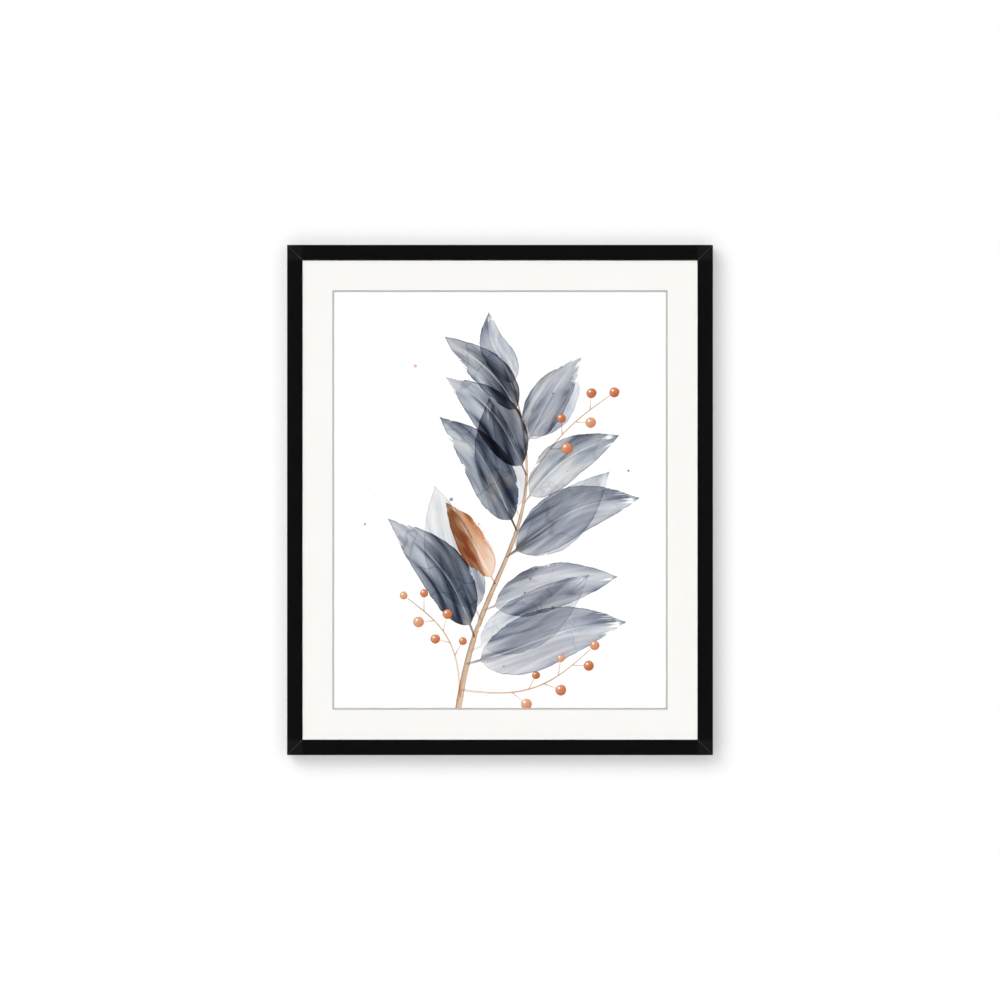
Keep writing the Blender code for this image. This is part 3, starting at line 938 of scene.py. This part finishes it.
studio = {
    "lens": 135,
    "pictureShare": 0.426,
    # how far the wall and its band of painted shade stand behind the picture's back
    "wallBehind": 0.0004,
    "bandBehind": 0.0002,
    "wallHalfWidth": 2.4,
    "wallTop": 1.6,
    "floorDrop": 1.35,
    "floorHalfWidth": 9,
    "wallTone": (0.74, 0.74, 0.74),
    "floorTone": (0.72, 0.72, 0.715),
    # painted shade for the gap behind the frame
    "gapShadeTone": (0.015, 0.015, 0.015),
    # how far in from the frame's outline the band of painted shade on the wall starts and ends
    "gapBand": (0.0002, 0.022),
    "roomGlow": 0.045,
    # sideways and upward slope of each distant light, its width in degrees and its strength
    "wallKey": (0.574, -0.65, 38, 1.18),
    "wallSoft": (0.06, 0.0, 95, 2.48),
    "pictureKey": (0.04, -0.05, 12, 2.4),
    "wallFront": (0, 0, 8, 0.85),
    "pictureFront": (0, 0, 8, 1.32),
    "floorSoft": (0, -30, 60, 4.6),
    # power, place, width and height of each lit box: two beside the picture, two behind it
    "sideBoxes": ((16, (-2.8, -1.4, 0.4), 1.0, 2.2), (16, (2.8, -1.4, 0.4), 1.0, 2.2)),
    "rearBoxes": ((150, (-3.0, 1.15, 0.9), 0.9, 0.9), (34, (1.6, 2.4, 0.6), 2.0, 2.0)),
}


def aim(thing, position, target):
    thing.location = position
    thing.rotation_euler = (Vector(target) - Vector(position)).to_track_quat("-Z", "Y").to_euler()


# straight in front of the picture's middle, and so far off that it fills its share of the view's width
def makeCamera():
    data = bpy.data.cameras.new("camera")
    data.lens = studio["lens"]
    viewWidth = place["width"] / studio["pictureShare"]
    distance = viewWidth * data.lens / data.sensor_width
    camera = bpy.data.objects.new("camera", data)
    bpy.context.scene.collection.objects.link(camera)
    aim(camera, (0, place["front"] - distance, place["middle"]), (0, 0, place["middle"]))
    bpy.context.scene.camera = camera


def makeLight(name, kind, energy, position, target, **settings):
    data = bpy.data.lights.new(name, kind)
    data.energy = energy
    for key, value in settings.items():
        setattr(data, key, value)
    light = bpy.data.objects.new(name, data)
    bpy.context.scene.collection.objects.link(light)
    aim(light, position, target)
    return light


# the light falls on these pieces alone
def linkLight(light, pieces):
    receivers = bpy.data.collections.new(light.name + "_link")
    for piece in pieces:
        receivers.objects.link(piece)
    light.light_linking.receiver_collection = receivers


# a distant light that is never mirrored
def makeDistant(name):
    slopeX, slopeZ, width, strength = studio[name]
    middle = Vector((0, 0, place["middle"]))
    away = Vector((slopeX, 1, slopeZ))
    light = makeLight(name, "SUN", strength, middle - away, middle, angle=math.radians(width))
    light.visible_glossy = False
    light.data.cycles.use_multiple_importance_sampling = False
    return light


def makeBackdrop(name, corners, faces, material):
    mesh = bpy.data.meshes.new(name)
    mesh.from_pydata(corners, [], faces)
    mesh.materials.append(material)
    plane = bpy.data.objects.new(name, mesh)
    bpy.context.scene.collection.objects.link(plane)
    return plane


# plain matt paint; the wall's is let through from behind, so that the back of the picture can be seen
def stagePaint(name, tone, oneSided):
    f = Finish(name, Roughness=0.95, Specular_IOR_Level=0.1)
    f.set("Base Color", f.mix(f.noise(3, 2) * 0.3, tone, tuple(k * 0.99 for k in tone)))
    if oneSided:
        behind = f.add("ShaderNodeNewGeometry", out="Backfacing")
        clear = f.add("ShaderNodeBsdfTransparent")
        seen = f.add("ShaderNodeMixShader", {}, {0: behind, 1: Num(f, f.shader.outputs[0]), 2: clear})
        f.feed(f.tree.nodes["Material Output"].inputs["Surface"], seen)
    return f.material


# corners of an upright rectangle that faces the same way as the picture
def upright(halfWidth, low, high, y):
    return [(-halfWidth, y, high), (-halfWidth, y, low), (halfWidth, y, low), (halfWidth, y, high)]


# painted shade: a dark band on the wall, hidden by the frame, keeps the gap behind the frame dark
def makeGapBand():
    corners = []
    for inset in studio["gapBand"]:
        halfHeight = place["height"] / 2 - inset
        low, high = place["middle"] - halfHeight, place["middle"] + halfHeight
        corners += upright(place["width"] / 2 - inset, low, high, studio["bandBehind"])
    faces = [(i, (i + 1) % 4, (i + 1) % 4 + 4, i + 4) for i in range(4)]
    band = makeBackdrop("gap_band", corners, faces, stagePaint("gap_shade_paint", studio["gapShadeTone"], True))
    band.visible_shadow = False


# the wall stops no light from behind, and the floor lights nothing
def makeStage():
    low, far = place["middle"] - studio["floorDrop"], studio["floorHalfWidth"]
    oneFace = [(0, 1, 2, 3)]
    corners = upright(studio["wallHalfWidth"], low, studio["wallTop"], studio["wallBehind"])
    wall = makeBackdrop("wall", corners, oneFace, stagePaint("wall_paint", studio["wallTone"], True))
    wall.visible_shadow = False
    makeGapBand()
    corners = [(-far, -far, low), (far, -far, low), (far, far, low), (-far, far, low)]
    floor = makeBackdrop("floor", corners, oneFace, stagePaint("floor_paint", studio["floorTone"], False))
    floor.visible_diffuse = floor.visible_glossy = floor.visible_shadow = False
    return wall, floor


# the room is seen as white, and lights the picture only faintly
def makeRoom():
    world = bpy.data.worlds.new("room")
    world.use_nodes = True
    bpy.context.scene.world = world
    tree = world.node_tree
    path = tree.nodes.new("ShaderNodeLightPath")
    seen = tree.nodes.new("ShaderNodeMix")
    seen.data_type = "RGBA"
    glow = studio["roomGlow"]
    colours = {"A_Color": (glow, glow, glow * 1.03, 1), "B_Color": (1, 1, 1, 1)}
    for socket in seen.inputs:
        if socket.identifier in colours:
            socket.default_value = colours[socket.identifier]
    tree.links.new(path.outputs["Is Camera Ray"], seen.inputs["Factor"])
    tree.links.new(seen.outputs[2], tree.nodes["Background"].inputs["Color"])
    bpy.context.scene.view_settings.view_transform = "Standard"


def makeBox(name, power, spot, width, height, pieces):
    box = makeLight(name, "AREA", power, spot, (0, 0, place["middle"]), shape="RECTANGLE", size=width)
    box.data.size_y = height
    linkLight(box, pieces)
    return box


# the wall and the picture have lights of their own, so that white and black both come out right
def makeLights(wall, floor):
    stage = ("wall", "gap_band", "floor")
    picture = [one for one in bpy.data.objects if one.type == "MESH" and one.name not in stage]
    linkLight(makeDistant("wallKey"), [wall])
    linkLight(makeDistant("wallSoft"), [wall])
    linkLight(makeDistant("pictureKey"), picture)
    linkLight(makeDistant("wallFront"), [wall])
    linkLight(makeDistant("pictureFront"), picture)
    linkLight(makeDistant("floorSoft"), [floor])
    for box in studio["sideBoxes"]:
        makeBox("soft_box", *box, picture).visible_diffuse = False
    for box in studio["rearBoxes"]:
        makeBox("rear_box", *box, picture)


makeCamera()
makeMoulding()
makeMat(matBoard())
makePrint()
makeCover(kraftPaper())
dressSmallParts()
makeRoom()
makeLights(*makeStage())
print("stage and lights set")
